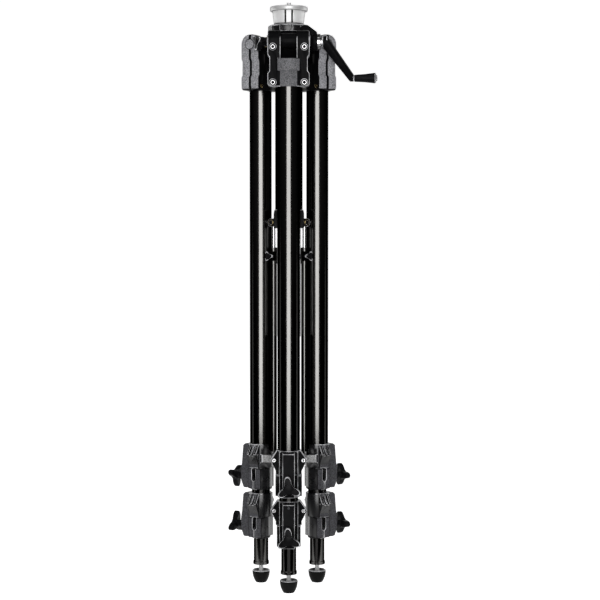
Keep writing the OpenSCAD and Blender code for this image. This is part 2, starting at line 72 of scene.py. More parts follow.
# Places of the pieces, in millimetres above the floor (Z), outward from the column's axis (RHO) or
# sideways from a leg's own plane (ACROSS), and in degrees (TURN, AZIMUTH)
KNOB_Z = {"upper": 145.5, "lower": 78.0}
KNOB_RHO = 73.5
KNOB_TURN = {
    "upper": {"front": 97.0, "right": 60.0, "left": 20.0},
    "lower": {"front": 95.0, "right": 60.0, "left": 98.0},
}
COLLAR_Z = {"upper": 128.5, "lower": 61.0}
EYELET_ACROSS = 19.5
EYELET_OUT = 8.02                              # beyond the leg's axis
EYELET_RISE = 50.0                             # above the collar's foot
STOP_OUT = 24.2
STOP_RISE = 56.0
CASTING_FRONT = LEG_RHO / MM + 13.7
CASTING_BACK = LEG_RHO / MM - 13.75
SCREW_ACROSS = 20.7
SCREW_Z = (677.3, 723.8)
ARM_RHO = 24.0
ARM_HUB_Z = 494.0
ARM_KNOB_Z = 448.5
ARM_KNOB_OUT = 9.3                             # from the arm's axis to the knob's seat
ARM_KNOB_SIDE = {"front": 1.0, "right": -1.0, "left": 1.0}
ARM_BOLT_OUT = 8.0
COLUMN_LOCK_AZIMUTH = 210.0
COLUMN_LOCK_Z = 734.0
COLUMN_LOCK_RHO = 35.2
COLUMN_LOCK_TURN = 20.0
CRANK_AZIMUTH = -7.0
CRANK_ACROSS = -18.0
CRANK_Z = 733.5
CRANK_SCREW_OUT = 54.1
CAMERA_STUD_Z = -6.2                           # from the frame's origin, on the plate's top
STUD_RADIUS = 3.1
PLUG_FROM = 25.3                               # the stud's end plug, black, begins here

# Zones that take their own finish, in millimetres: of a leg casting, from the leg's axis
FLANK_ACROSS = 23.0
PARTING_HALF = 1.3
PARTING_EDGE_HALF = 2.2
SHELL_HALF = 12.6
SHELL_FOOT_Z = 674.0
BULGE_ACROSS = 16.0
BULGE_TOP_Z = 708.0
FRONT_EDGE_DEPTH = 0.75
# of a lock collar, from the leg's axis or above the collar's foot
BRACKET_RHO = 28.5
BRACKET_Z = 172.6
BRACKET_HALF = 6.5
BLOCK_OUT = 9.0
CHEEK_ACROSS = 14.5
BARREL_RADIUS = 17.0
SHOULDER_RISE = 31.0
RIB_ACROSS = 11.5
RIB_RISE = 34.0
SPLIT_OUT = 1.3
SPLIT_HALF = 3.6
SPLIT_RISE = 31.5
# of the cup under the head plate, from the column's axis
CUP_SLOT_ACROSS = 4.5
CUP_SLOT_HALF = 1.1
CUP_SLOT_FRONT = -17.0

# The photograph's view and its studio
CAMERA_PLACE = (0.015, -2.23, 490.0)           # metres, metres, millimetres above the floor
CAMERA_LENS = 99.0
AIM_HEIGHT = 389.2                             # millimetres above the floor, at the column
PAPER = 0.86
FLOOR_GLOW = 0.9                               # leaves room below white for the object's shadow
WALL_GLOW = 1.0
GLOW_NEAR, GLOW_FAR = 0.4, 1.5                 # the glow rises to 1 between these distances
MIRRORED_FLOOR_FROM = -0.1                     # reflections show the paper beyond these y values
MIRRORED_WALL_FROM = -1.0
AISLE_SLOPE = 0.33                             # half width of the pale aisle for its distance
AISLE_DARKNESS = 0.6
AIR_GLOW = 0.03
LAMP_AIM = 0.4                                 # metres above the floor
# name, width, height, place with its height above the floor, radiance
LAMPS = (
    ("front_strip", 0.9, 1.2, (0.0, -1.35, 0.61), 4.6),
    ("left_rim", 0.7, 3.0, (-2.3, 1.6, 0.7), 3.0),
    ("right_rim", 0.7, 3.0, (2.3, 1.6, 0.7), 3.0),
)
# the same, with the place's height in the shared frame
HIGH_LAMPS = (
    ("high_left", 1.6, 1.6, (-1.4, -1.2, 2.0), 2.0),
    ("high_right", 1.6, 1.6, (1.4, -1.2, 2.0), 2.0),
)

# Takes z outward and x down, and leaves y across
OUTWARD = Matrix(((0, 0, 1, 0), (0, 1, 0, 0), (-1, 0, 0, 0), (0, 0, 0, 1)))


def turned(degrees, axis):
    return Matrix.Rotation(math.radians(degrees), 4, axis)


def lifted(millimetres):
    """Shift along z."""
    return Matrix.Translation((0.0, 0.0, millimetres * MM))


def place_at(azimuth, rho, across, height):
    """Frame at a point round the column, in millimetres, whose z runs outward at the azimuth."""
    return turned(azimuth, "Z") @ Matrix.Translation((rho * MM, across * MM, above_floor(height))) @ OUTWARD


def leg_place(side, rho, across, height):
    """Frame at a point of a leg's own plane, in millimetres, whose z runs outward from the column."""
    return place_at(LEG_AZIMUTH[side], rho, across, height)


def arm_place(side, height, hand):
    """Frame on a spreader arm's axis whose z runs to one side of the arm, which hand gives as 1 or -1."""
    at_axis = Matrix.Translation((ARM_RHO * MM, 0.0, above_floor(height)))
    return turned(LEG_AZIMUTH[side], "Z") @ at_axis @ turned(-90.0 * hand, "X")


def leg_axes(side):
    """Outward and sideways directions of a leg."""
    angle = math.radians(LEG_AZIMUTH[side])
    return Vector((math.cos(angle), math.sin(angle), 0.0)), Vector((-math.sin(angle), math.cos(angle), 0.0))


COLOUR = {"subtype": "COLOR", "min": 0.0, "max": 1.0}


class TripodSizes(bpy.types.PropertyGroup):
    """Sizes of what is added round the solids."""

    casting_edge: bpy.props.FloatProperty(
        name="Casting edge", description="Rounding of the castings' edges",
        default=0.7 * MM, unit="LENGTH")
    collar_edge: bpy.props.FloatProperty(
        name="Collar edge", description="Rounding of the lock collars' edges",
        default=0.55 * MM, unit="LENGTH")
    metal_edge: bpy.props.FloatProperty(
        name="Metal edge", description="Rounding of the turned metal pieces",
        default=0.25 * MM, unit="LENGTH")
    knob_radius: bpy.props.FloatProperty(
        name="Leg knob radius", description="Reach of a leg knob's lobes",
        default=17.0 * MM, unit="LENGTH")
    backdrop_width: bpy.props.FloatProperty(
        name="Backdrop width", description="Width of the pale backdrop",
        default=32.0, unit="LENGTH")


class TripodColours(bpy.types.PropertyGroup):
    """Colours of the finishes."""

    # its grey on the castings' flanks and bulge is partly painted sheen of the light falling on them
    casting: bpy.props.FloatVectorProperty(
        name="Casting paint", description="Grained paint of the castings, pale with painted sheen on their flanks",
        default=(0.27, 0.27, 0.285), **COLOUR)
    face: bpy.props.FloatVectorProperty(
        name="Face black", description="Smooth black of the castings' front faces",
        default=(0.004, 0.004, 0.0045), **COLOUR)
    tube: bpy.props.FloatVectorProperty(
        name="Tube sheen", description="What the black leg tubes reflect where seen face-on",
        default=(0.13, 0.128, 0.124), **COLOUR)
    collar: bpy.props.FloatVectorProperty(
        name="Collar black", description="Moulded black of the lock collars and knobs",
        default=(0.006, 0.006, 0.0066), **COLOUR)
    grained: bpy.props.FloatVectorProperty(
        name="Grained black", description="Grained sides of the lock collars",
        default=(0.058, 0.058, 0.064), **COLOUR)
    screw: bpy.props.FloatVectorProperty(
        name="Screw steel", description="Rims of the castings' screws",
        default=(0.62, 0.62, 0.63), **COLOUR)
    # painted highlight that the rounded edges of the black pieces take
    edge: bpy.props.FloatVectorProperty(
        name="Painted edge highlight", description="Pale painted highlight on the black pieces' edges",
        default=(0.62, 0.62, 0.64), **COLOUR)
    bracket: bpy.props.FloatVectorProperty(
        name="Bracket grey", description="Grained grey of the spreader's brackets",
        default=(0.30, 0.30, 0.30), **COLOUR)
    rubber: bpy.props.FloatVectorProperty(
        name="Rubber black", description="Rubber of the feet",
        default=(0.006, 0.006, 0.006), **COLOUR)
    bright: bpy.props.FloatVectorProperty(
        name="Bright metal", description="Plated screws, rods and studs",
        default=(0.78, 0.78, 0.79), **COLOUR)
    plate: bpy.props.FloatVectorProperty(
        name="Head metal", description="Turned metal of the head plate and its cup",
        default=(0.84, 0.84, 0.84), **COLOUR)
    brass: bpy.props.FloatVectorProperty(
        name="Brass", description="Washers and small screws",
        default=(0.62, 0.47, 0.22), **COLOUR)


def sizes():
    return bpy.context.scene.tripod_sizes


def colours():
    return bpy.context.scene.tripod_colours


# Materials

NOISE_SPAN = (0.3, 0.7)                        # the range in which noise mostly lies


def new_material(name):
    """A material with its node tree, its Principled shader and its Object coordinates."""
    mat = bpy.data.materials.new(name)
    mat.use_nodes = True
    tree = mat.node_tree
    shader = next(n for n in tree.nodes if n.type == "BSDF_PRINCIPLED")
    coords = tree.nodes.new("ShaderNodeTexCoord")
    return mat, tree, shader, coords.outputs["Object"]


def noise(tree, coords, scale, detail=3.0, roughness=0.5, stretch=(1.0, 1.0, 1.0)):
    """Noise on the given coordinates, stretched along each axis as asked."""
    mapping = tree.nodes.new("ShaderNodeMapping")
    mapping.inputs["Scale"].default_value = stretch
    tree.links.new(coords, mapping.inputs["Vector"])
    tex = tree.nodes.new("ShaderNodeTexNoise")
    tex.inputs["Scale"].default_value = scale
    tex.inputs["Detail"].default_value = detail
    tex.inputs["Roughness"].default_value = roughness
    tree.links.new(mapping.outputs["Vector"], tex.inputs["Vector"])
    return tex.outputs["Fac"]


def spread(tree, value, low, high):
    """Maps a noise to low..high."""
    node = tree.nodes.new("ShaderNodeMapRange")
    node.inputs["From Min"].default_value = NOISE_SPAN[0]
    node.inputs["From Max"].default_value = NOISE_SPAN[1]
    node.inputs["To Min"].default_value = low
    node.inputs["To Max"].default_value = high
    tree.links.new(value, node.inputs["Value"])
    return node.outputs["Result"]


def tinted(tree, value, dark, light):
    """Colour between two tones by a noise."""
    ramp = tree.nodes.new("ShaderNodeValToRGB")
    for stop, position, tone in zip(ramp.color_ramp.elements, NOISE_SPAN, (dark, light)):
        stop.position = position
        stop.color = (*tone, 1.0)
    tree.links.new(value, ramp.inputs["Fac"])
    return ramp.outputs["Color"]


def bumped(tree, shader, height, strength, distance):
    """Adds a bump of the given height in metres to the shader's normal."""
    bump = tree.nodes.new("ShaderNodeBump")
    bump.inputs["Strength"].default_value = strength
    bump.inputs["Distance"].default_value = distance
    tree.links.new(height, bump.inputs["Height"])
    tree.links.new(bump.outputs["Normal"], shader.inputs["Normal"])


def painted_rim_shade(tree, tone, share, start, end):
    """Paints shade into a metal's colour where its surface is seen edge-on: multiplies it by a share there.
    """
    facing = tree.nodes.new("ShaderNodeLayerWeight")
    facing.inputs["Blend"].default_value = 0.5
    rim = tree.nodes.new("ShaderNodeMapRange")
    rim.inputs["From Min"].default_value = start
    rim.inputs["From Max"].default_value = end
    tree.links.new(facing.outputs["Facing"], rim.inputs["Value"])
    mix = tree.nodes.new("ShaderNodeMix")
    mix.data_type = "RGBA"
    mix.blend_type = "MULTIPLY"
    mix.inputs["B"].default_value = (*share, 1.0)
    tree.links.new(rim.outputs["Result"], mix.inputs["Factor"])
    tree.links.new(tone, mix.inputs["A"])
    return mix.outputs["Result"]


def scaled(tone, factor):
    return tuple(min(1.0, c * factor) for c in tone)


def grained_paint(name, base):
    """Paint with a fine, uneven grain, as on sand castings."""
    mat, tree, shader, coords = new_material(name)
    grain = noise(tree, coords, 620.0, 3.0, 0.65)
    wear = noise(tree, coords, 60.0, 4.0, 0.6)
    shade = tinted(tree, grain, scaled(base, 0.3), scaled(base, 1.7))
    tree.links.new(shade, shader.inputs["Base Color"])
    tree.links.new(spread(tree, wear, 0.42, 0.6), shader.inputs["Roughness"])
    shader.inputs["Specular IOR Level"].default_value = 0.2
    bumped(tree, shader, grain, 0.8, 0.0003)
    return mat


def tube_gloss():
    """Black glossy skin of the leg tubes, drawn lengthwise; its colour is darkened edge-on, a painted shade
    at the rims.
    """
    mat, tree, shader, coords = new_material("tube_gloss")
    draw = noise(tree, coords, 900.0, 3.0, 0.6, (1.0, 1.0, 0.012))
    smear = noise(tree, coords, 14.0, 3.0, 0.5, (1.0, 1.0, 0.3))
    base = tuple(colours().tube)
    skin = tinted(tree, smear, scaled(base, 0.9), scaled(base, 1.1))
    tree.links.new(painted_rim_shade(tree, skin, (0.10, 0.10, 0.10), 0.05, 0.4), shader.inputs["Base Color"])
    tree.links.new(spread(tree, smear, 0.11, 0.16), shader.inputs["Roughness"])
    shader.inputs["Metallic"].default_value = 1.0
    shader.inputs["Specular Tint"].default_value = (0.04, 0.04, 0.04, 1.0)
    bumped(tree, shader, draw, 0.12, 0.00004)
    return mat


def moulded_black(name, base, low, high, grain_scale=1400.0, bump=0.00008, glare=0.12):
    """Moulded plastic with a faint grain, its roughness between low and high."""
    mat, tree, shader, coords = new_material(name)
    grain = noise(tree, coords, grain_scale, 2.0, 0.5)
    cloud = noise(tree, coords, 45.0, 3.0, 0.6)
    tree.links.new(tinted(tree, cloud, scaled(base, 0.75), scaled(base, 1.3)), shader.inputs["Base Color"])
    tree.links.new(spread(tree, cloud, low, high), shader.inputs["Roughness"])
    shader.inputs["Specular IOR Level"].default_value = glare
    bumped(tree, shader, grain, 0.5, bump)
    return mat


def painted_edge_highlight(name, base):
    """Pale painted highlight on edges, broken by noise into bright patches and black ones."""
    mat, tree, shader, coords = new_material(name)
    patch = noise(tree, coords, 90.0, 3.0, 0.6)
    tree.links.new(tinted(tree, patch, scaled(base, 0.28), scaled(base, 1.5)), shader.inputs["Base Color"])
    tree.links.new(spread(tree, patch, 0.45, 0.3), shader.inputs["Roughness"])
    return mat


def bright_metal(name, base, low, high, stretch=(1.0, 1.0, 1.0), scale=500.0, rim_from=0.35,
                 metallic=1.0):
    """Metal with fine machining marks, its roughness between low and high.

    Its colour is darkened at the rims from rim_from on, a painted reflection of the dark room beside the
    paper.
    """
    mat, tree, shader, coords = new_material(name)
    marks = noise(tree, coords, scale, 3.0, 0.6, stretch)
    cloud = noise(tree, coords, 70.0, 3.0, 0.6)
    cloudy = tinted(tree, cloud, scaled(base, 0.88), scaled(base, 1.06))
    tree.links.new(spread(tree, marks, low, high), shader.inputs["Roughness"])
    shader.inputs["Metallic"].default_value = metallic
    bumped(tree, shader, marks, 0.15, 0.00003)
    tree.links.new(painted_rim_shade(tree, cloudy, (0.12, 0.12, 0.13), rim_from, 1.0), shader.inputs["Base Color"])
    return mat


def make_finishes():
    """Every finish by its name."""
    hue = colours()
    casting, face, edge, grained, collar = (
        tuple(tone) for tone in (hue.casting, hue.face, hue.edge, hue.grained, hue.collar))
    plate, bright = tuple(hue.plate), tuple(hue.bright)
    return {
        # casting and bulge: grained paint whose pale greys on the flanks and the bulge are painted sheen
        "casting": grained_paint("casting_paint_and_sheen", casting),
        "bracket": grained_paint("bracket_paint", tuple(hue.bracket)),
        "bulge": grained_paint("bulge_paint_and_sheen", scaled(casting, 0.45)),
        "face": moulded_black("face_black", face, 0.24, 0.36, 1000.0, 0.00004, 0.025),
        # edge: a painted highlight on the rounded edges of the black pieces, broken into pale and black
        # patches
        "edge": painted_edge_highlight("painted_edge_highlight", edge),
        "grained": grained_paint("grained_moulding", grained),
        "screw": bright_metal("screw_steel", tuple(hue.screw), 0.16, 0.28),
        "tube": tube_gloss(),
        "collar": moulded_black("collar_black", collar, 0.2, 0.34, glare=0.6),
        "knob": moulded_black("knob_black", collar, 0.24, 0.36, glare=0.05),
        "rubber": moulded_black("rubber_black", tuple(hue.rubber), 0.34, 0.5, 900.0, 0.0001, 0.05),
        "bright": bright_metal("plated_steel", bright, 0.12, 0.24),
        "column": bright_metal("column_silver", plate, 0.22, 0.34, (1.0, 1.0, 0.02), 900.0, 0.7, 0.2),
        "plate": bright_metal("turned_head", plate, 0.4, 0.55, (0.05, 0.05, 1.0), 2600.0, 0.7, 0.2),
        "zinc": bright_metal("dull_zinc", scaled(plate, 0.8), 0.34, 0.46, rim_from=0.45, metallic=0.45),
        "brass": bright_metal("brass", tuple(hue.brass), 0.2, 0.34),
    }


FINISH = {}


# Meshes

LOBE_SHARPNESS = 2.0


def finished(bm, name, body, finishes, replaces=(), smooth_angle=35.0):
    """Turns a bmesh into a piece that rides on a body; its faces' material numbers are the finishes'."""
    mesh = bpy.data.meshes.new(name)
    bm.to_mesh(mesh)
    bm.free()
    mesh.shade_smooth()
    mesh.set_sharp_from_angle(angle=math.radians(smooth_angle))
    for finish in finishes:
        mesh.materials.append(FINISH[finish])
    piece = bpy.data.objects.new(name, mesh)
    bpy.context.scene.collection.objects.link(piece)
    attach(piece, body)
    if replaces:
        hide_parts(*replaces)
    return piece


def node_body(node):
    """Body that a CAD node rides on."""
    bodies = frame["record"]["behaviour"]["bodies"]
    return next(name for name, nodes in bodies.items() if node in nodes)


def dressed(node, finishes, edge, sharp=28.0, pick=None, pick_edge=None):
    """A piece with a CAD node's shape and rounded edges, in place of the node.

    The first finish goes on its faces and the last on its rounded edges, unless pick and pick_edge
    name the finish of a face and of a face on a rounded edge.
    """
    bm = bmesh.new()
    bm.from_mesh(frame["nodes"][node].data)
    bmesh.ops.remove_doubles(bm, verts=bm.verts, dist=0.004 * MM)
    bmesh.ops.dissolve_limit(bm, angle_limit=math.radians(1.2), verts=bm.verts, edges=bm.edges)
    bm.normal_update()
    for face in bm.faces:
        face.material_index = finishes.index(pick(face)) if pick else 0
    corners = [e for e in bm.edges
               if len(e.link_faces) == 2 and e.is_convex and e.calc_face_angle(0.0) > math.radians(sharp)]
    made = bmesh.ops.bevel(bm, geom=corners, offset=edge, offset_type="OFFSET", segments=2, profile=0.5,
                           affect="EDGES", clamp_overlap=False, material=-1)
    for face in made["faces"]:
        face.material_index = finishes.index(pick_edge(face)) if pick_edge else len(finishes) - 1
    return finished(bm, f"{node}_dressed", node_body(node), finishes, (node,), sharp)


def casting_skin(side):
    """Picks a casting's finish by face: grained paint on its bulge and its flanks, in greys that are
    painted sheen of the light on the curved front and the sides, and black elsewhere.
    """
    out, aside = leg_axes(side)

    def pick(face):
        centre = face.calc_center_median()
        if centre.dot(out) > (CASTING_FRONT + 0.05) * MM:
            return "bulge"
        flank = abs(face.normal.dot(aside)) > 0.5 and abs(centre.dot(aside)) > FLANK_ACROSS * MM
        parting = abs(centre.dot(out) - LEG_RHO) < PARTING_HALF * MM
        return "casting" if flank and not parting else "face"

    return pick


def casting_edges(side):
    """Picks the finish of a casting's rounded edges: a painted highlight round its flat front, the bulge's
    and flanks' painted sheen along theirs, and black elsewhere.
    """
    out, aside = leg_axes(side)

    def pick(face):
        centre = face.calc_center_median()
        outward, across = centre.dot(out), abs(centre.dot(aside))
        front_from = (CASTING_FRONT - FRONT_EDGE_DEPTH) * MM
        if outward > front_from and across < BULGE_ACROSS * MM and centre.z < above_floor(BULGE_TOP_Z):
            return "bulge"
        shell = abs(outward - LEG_RHO) < SHELL_HALF * MM and centre.z > above_floor(SHELL_FOOT_Z)
        parting = abs(outward - LEG_RHO) < PARTING_EDGE_HALF * MM
        if across > FLANK_ACROSS * MM and shell and not parting:
            return "casting"
        return "edge" if front_from < outward < (CASTING_FRONT + 0.03) * MM else "face"

    return pick


def collar_skin(side, foot):
    """Picks a lock collar's finish by face; foot is the collar's height above the floor."""
    out, aside = leg_axes(side)

    def pick(face):
        centre = face.calc_center_median()
        outward, across = centre.dot(out), abs(centre.dot(aside))
        if outward < BRACKET_RHO * MM and abs(centre.z - above_floor(BRACKET_Z)) < BRACKET_HALF * MM:
            return "bracket"
        if abs(face.normal.dot(aside)) > 0.9 and (
                outward > LEG_RHO + BLOCK_OUT * MM or across > CHEEK_ACROSS * MM):
            return "grained"
        if face.normal.dot(out) > 0.9:
            return "face"
        from_axis = math.hypot(outward - LEG_RHO, across)
        barrel = from_axis < BARREL_RADIUS * MM and abs(face.normal.z) < 0.5
        return "collar" if barrel or centre.z > above_floor(foot + SHOULDER_RISE) else "grained"

    return pick


def collar_edges(side, foot):
    """Picks the finish of a lock collar's rounded edges: a painted highlight on its front, ribs and split,
    and black elsewhere.
    """
    out, aside = leg_axes(side)

    def pick(face):
        centre = face.calc_center_median()
        ribs = abs(centre.dot(aside)) > RIB_ACROSS * MM and centre.z > above_floor(foot + RIB_RISE)
        split = (abs(centre.dot(out) - LEG_RHO - SPLIT_OUT * MM) < SPLIT_HALF * MM
                 and centre.z < above_floor(foot + SPLIT_RISE))
        outward = face.normal.dot(out)
        # the pale edges take a painted highlight
        pale = outward > 0.55 or split or (ribs and outward > -0.6 and face.normal.z > -0.1)
        return "edge" if pale else "face"

    return pick


def cup_skin(face):
    """Picks black for the walls of the two clamping slots of the cup under the plate, a painted shade in
    the slots, and its metal elsewhere.
    """
    centre = face.calc_center_median()
    across = abs(abs(centre.x) - CUP_SLOT_ACROSS * MM) < CUP_SLOT_HALF * MM
    slot = across and centre.y < CUP_SLOT_FRONT * MM and abs(face.normal.z) < 0.9
    return "face" if slot else "plate"


def painted(node, finish):
    """Gives a CAD node its finish and leaves its shape."""
    piece = frame["nodes"][node]
    piece.data.materials.clear()
    piece.data.materials.append(FINISH[finish])


def lathe(profile, steps=48):
    """Closed solid turned about z from (radius, height) points in millimetres."""
    bm = bmesh.new()
    verts = [bm.verts.new((r * MM, 0.0, z * MM)) for r, z in profile]
    edges = [bm.edges.new(pair) for pair in zip(verts, verts[1:])]
    if profile[0][0] > 0.0 or profile[-1][0] > 0.0:
        edges.append(bm.edges.new((verts[-1], verts[0])))
    bmesh.ops.spin(bm, geom=verts + edges, cent=(0, 0, 0), axis=(0, 0, 1), angle=math.tau,
                   steps=steps, use_merge=True)
    bmesh.ops.remove_doubles(bm, verts=bm.verts, dist=0.002 * MM)
    bmesh.ops.recalc_face_normals(bm, faces=bm.faces)
    return bm


def turned_piece(name, profile, place, body, finish, replaces=(), steps=48):
    """A turned piece, its profile in millimetres, put in place by a transform."""
    bm = lathe(profile, steps)
    bmesh.ops.transform(bm, matrix=place, verts=bm.verts)
    return finished(bm, name, body, (finish,), replaces)


def lobe_reach(angle, core, tip, sharpness):
    """Radius of a three-lobed outline at an angle."""
    wave = 0.5 + 0.5 * math.cos(3.0 * angle)
    return core + (tip - core) * wave ** sharpness


def lobed_solid(rings, core, sharpness, steps=96):
    """Three-lobed solid about z: each ring is (height, lobe reach), all in millimetres."""
    bm = bmesh.new()
    made = bmesh.ops.create_circle(bm, cap_ends=False, segments=steps, radius=1.0)
    ring = made["verts"]
    angles = {v: math.atan2(v.co.y, v.co.x) for v in ring}

    def shape(verts, height, reach):
        for v in verts:
            r = lobe_reach(angles[v], min(core, reach) * MM, reach * MM, sharpness)
            v.co = Vector((r * math.cos(angles[v]), r * math.sin(angles[v]), height * MM))

    shape(ring, *rings[0])
    bm.faces.new(list(reversed(ring)))
    for height, reach in rings[1:]:
        edges = [e for e in bm.edges if all(v in angles for v in e.verts)]
        grown = bmesh.ops.extrude_edge_only(bm, edges=edges)["geom"]
        nxt = [g for g in grown if isinstance(g, bmesh.types.BMVert)]
        angles = {v: math.atan2(v.co.y, v.co.x) for v in nxt}
        shape(nxt, height, reach)
    edges = [e for e in bm.edges if all(v in angles for v in e.verts)]
    bmesh.ops.contextual_create(bm, geom=edges)
    bmesh.ops.recalc_face_normals(bm, faces=bm.faces)
    return bm


def joined(parts):
    """One bmesh from several."""
    whole = bmesh.new()
    for part in parts:
        mesh = bpy.data.meshes.new("joining")
        part.to_mesh(mesh)
        part.free()
        whole.from_mesh(mesh)
        bpy.data.meshes.remove(mesh)
    return whole


def wing_knob(name, place, body, node, reach, waist, lobes, neck, screw):
    """Three-lobed knob with its neck and screw, in millimetres along its screw from a place.

    lobes is (start, end) of the lobes, neck a radius, and screw (start, radius).
    """
    start, end = lobes
    rings = [(start, reach - 1.6), (start + 0.5, reach - 0.5), (start + 1.3, reach), (end - 1.3, reach),
             (end - 0.5, reach - 0.5), (end, reach - 1.9)]
    solid = lobed_solid(rings, waist, LOBE_SHARPNESS)
    # a thin band below the lobes' top end takes the edge finish, a painted highlight that outlines the knob
    for face in solid.faces:
        if end - 0.48 < face.calc_center_median().z / MM < end - 0.02:
            face.material_index = 1
    screw_from, screw_radius = screw
    boss = lathe([
        (0.0, screw_from), (screw_radius, screw_from), (screw_radius, 0.0), (neck + 1.5, 0.0),
        (neck + 1.5, 1.2), (neck, 1.6), (neck, start + 0.5), (waist - 0.6, start + 0.6),
        (waist - 0.6, end + 0.6), (waist - 1.2, end + 1.0), (0.0, end + 1.0)])
    bm = joined([solid, boss])
    bmesh.ops.transform(bm, matrix=place, verts=bm.verts)
    return finished(bm, name, body, ("knob", "edge"), (node,), 50.0)


def ring_screw(name, place, radius, body, proud=0.5):
    """Bright rimmed screw head whose socket is painted black, a painted shade in the recess; place takes z
    outward from the seat.
    """
    inner, bevel, sunk = 0.64 * radius, 0.1 * radius, -0.6
    rim = lathe([(inner, sunk), (radius, sunk), (radius, proud - bevel), (radius - bevel, proud),
                 (inner + bevel, proud), (inner, proud - bevel)], 32)
    socket = lathe([(0.0, sunk), (inner, sunk), (inner, proud - 0.2), (0.0, proud - 0.2)], 20)
    # the socket's black is painted shade in the recess
    for face in socket.faces:
        face.material_index = 1
    bm = joined([rim, socket])
    bmesh.ops.transform(bm, matrix=place, verts=bm.verts)
    return finished(bm, name, body, ("screw", "face"))


def thread(low, high, radius, pitch):
    """Profile of a cut thread, in millimetres, from a low to a high end."""
    turns = int((high - low) / pitch)
    return [(radius - depth, low + (k + step) * pitch)
            for k in range(turns) for step, depth in ((0.1, 0.0), (0.4, 0.0), (0.65, 0.4), (0.85, 0.4))]


# Stage

def make_camera():
    data = bpy.data.cameras.new("view")
    data.lens = CAMERA_LENS
    data.sensor_width = 36.0
    data.sensor_fit = "HORIZONTAL"
    data.clip_start = 0.1
    data.clip_end = 50.0
    camera = bpy.data.objects.new("view", data)
    x, y, height = CAMERA_PLACE
    camera.location = (x, y, above_floor(height))
    drop = (height - AIM_HEIGHT) * MM
    camera.rotation_euler = (math.radians(90.0) - math.atan2(drop, -y), 0.0, 0.0)
    bpy.context.scene.collection.objects.link(camera)
    bpy.context.scene.camera = camera


def calc(tree, operation, *values):
    """Math node on numbers or sockets."""
    node = tree.nodes.new("ShaderNodeMath")
    node.operation = operation
    for socket, value in zip(node.inputs, values):
        if isinstance(value, float):
            socket.default_value = value
        else:
            tree.links.new(value, socket)
    return node.outputs[0]


def paper_glow(tree, coords, at_object):
    """Glow that is weaker round the object, where the shadow falls, and full farther off."""
    reach = tree.nodes.new("ShaderNodeVectorMath")
    reach.operation = "DISTANCE"
    reach.inputs[1].default_value = (0.0, 0.0, FLOOR_Z)
    tree.links.new(coords, reach.inputs[0])
    glow = tree.nodes.new("ShaderNodeMapRange")
    glow.inputs["From Min"].default_value = GLOW_NEAR
    glow.inputs["From Max"].default_value = GLOW_FAR
    glow.inputs["To Min"].default_value = at_object
    glow.inputs["To Max"].default_value = 1.0
    tree.links.new(reach.outputs["Value"], glow.inputs["Value"])
    return glow.outputs["Result"]


def pale_surface(name, glow_at_object, mirrored_from):
    """Paper that glows to the camera, and to reflections where its y is beyond mirrored_from.

    Nearer than that it is dark to reflections, but for a pale aisle that runs towards the viewer.
    """
    mat, tree, shader, coords = new_material(name)
    fibre = noise(tree, coords, 40.0, 3.0, 0.5)
    white = (PAPER,) * 3
    tree.links.new(tinted(tree, fibre, scaled(white, 0.985), white), shader.inputs["Base Color"])
    shader.inputs["Roughness"].default_value = 0.9
    shader.inputs["Specular IOR Level"].default_value = 0.0
    path = tree.nodes.new("ShaderNodeLightPath").outputs
    split = tree.nodes.new("ShaderNodeSeparateXYZ")
    tree.links.new(coords, split.inputs[0])
    behind = calc(tree, "GREATER_THAN", split.outputs["Y"], mirrored_from)
    mirrored = calc(tree, "MAXIMUM", path["Is Glossy Ray"], path["Is Transmission Ray"])
    seen = calc(tree, "MAXIMUM", path["Is Camera Ray"], calc(tree, "MULTIPLY", mirrored, behind))
    glow = calc(tree, "MULTIPLY", seen, paper_glow(tree, coords, glow_at_object))
    shader.inputs["Emission Color"].default_value = (1.0, 1.0, 1.0, 1.0)
    tree.links.new(glow, shader.inputs["Emission Strength"])

    slope = calc(tree, "DIVIDE", calc(tree, "ABSOLUTE", split.outputs["X"]),
                 calc(tree, "ABSOLUTE", split.outputs["Y"]))
    unlit = calc(tree, "MULTIPLY", mirrored, calc(tree, "SUBTRACT", 1.0, behind))
    beside = calc(tree, "MAXIMUM", calc(tree, "GREATER_THAN", slope, AISLE_SLOPE), AISLE_DARKNESS)
    dark = tree.nodes.new("ShaderNodeEmission")
    dark.inputs["Color"].default_value = (0.0, 0.0, 0.0, 1.0)
    mix = tree.nodes.new("ShaderNodeMixShader")
    out = next(n for n in tree.nodes if n.type == "OUTPUT_MATERIAL")
    tree.links.new(calc(tree, "MULTIPLY", unlit, beside), mix.inputs[0])
    tree.links.new(shader.outputs[0], mix.inputs[1])
    tree.links.new(dark.outputs[0], mix.inputs[2])
    tree.links.new(mix.outputs[0], out.inputs["Surface"])
    return mat


def plane(name, width, height, place, material):
    bm = bmesh.new()
    bmesh.ops.create_grid(bm, x_segments=1, y_segments=1, size=0.5)
    bmesh.ops.scale(bm, vec=(width, height, 1.0), verts=bm.verts)
    bmesh.ops.transform(bm, matrix=place, verts=bm.verts)
    mesh = bpy.data.meshes.new(name)
    bm.to_mesh(mesh)
    bm.free()
    mesh.materials.append(material)
    piece = bpy.data.objects.new(name, mesh)
    bpy.context.scene.collection.objects.link(piece)


def make_paper():
    """Floor round the object and an upright backdrop behind it."""
    width = sizes().backdrop_width
    plane("floor", width, width, Matrix.Translation((0.0, 0.0, FLOOR_Z)),
          pale_surface("floor_paper", FLOOR_GLOW, MIRRORED_FLOOR_FROM))
    upright = Matrix.Translation((0.0, width / 2, FLOOR_Z + width / 4)) @ turned(90.0, "X")
    plane("backdrop", width, width / 2, upright,
          pale_surface("wall_paper", WALL_GLOW, MIRRORED_WALL_FROM))


